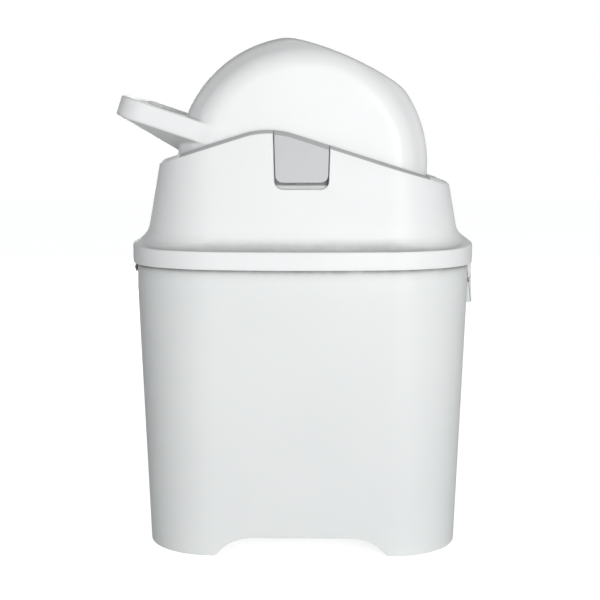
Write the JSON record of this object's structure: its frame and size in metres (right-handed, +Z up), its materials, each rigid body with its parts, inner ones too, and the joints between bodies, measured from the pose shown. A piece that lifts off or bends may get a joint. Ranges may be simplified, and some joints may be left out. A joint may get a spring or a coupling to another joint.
{
  "type": "nappy bin",
  "caption": "Nappy bin: tapered oval bucket with toe cut-out, hinged latched lid and a drum with a paddle handle that flips a through chute and its sliding piston.",
  "frame": {"origin": "on the floor under the centre of the bucket's plan, on the plane of its foot rim", "axes": "+X towards the latch, -Y towards the front with the toe cut-out, +Z up"},
  "size_m": [0.3392, 0.25, 0.4819],
  "materials": {
    "lid_white": "satin moulded",
    "bucket_white": "satin moulded",
    "cap_grey": "fine satin",
    "chute_white": "satin moulded",
    "seal_rubber": "matt",
    "steel": "drawn wire"
  },
  "bodies": {
    "bin": {"bucket": "bucket_white", "hinge_pin": "steel"},
    "lid": {"lid_housing": "lid_white", "lid_pan": "lid_white", "pan_screws": "steel", "lid_gasket": "seal_rubber", "trough_seal": "seal_rubber", "front_bearing_cap": "cap_grey", "rear_bearing_cap": "cap_grey", "latch_pin": "steel"},
    "latch": {"latch_flap": "lid_white"},
    "drum": {"drum_front_shell": "lid_white", "drum_rear_shell": "lid_white", "drum_screws": "steel", "chute_tube": "chute_white", "mouth_ring_a": "chute_white", "mouth_ring_b": "chute_white"},
    "piston": {"piston_body": "chute_white", "piston_cap_a": "chute_white", "piston_cap_b": "chute_white", "piston_seal_a": "seal_rubber", "piston_seal_b": "seal_rubber", "piston_weight": "steel"}
  },
  "joints": [
    {"name": "lid_hinge", "type": "hinge", "parent": "bin", "child": "lid", "pos_m": [-0.1573, 0, 0.266], "axis": [0, -1, 0], "range_deg": [0, 100]},
    {"name": "latch_lift", "type": "hinge", "parent": "lid", "child": "latch", "pos_m": [0.1625, 0, 0.2528], "axis": [0, -1, 0], "range_deg": [0, 60]},
    {"name": "drum_flip", "type": "hinge", "parent": "lid", "child": "drum", "pos_m": [0, 0, 0.365], "axis": [0, 1, 0], "range_deg": [0, 162]},
    {"name": "piston_slide", "type": "slide", "parent": "drum", "child": "piston", "axis": [0.3987, 0, 0.9171], "range_m": [0, 0.1116]}
  ]
}
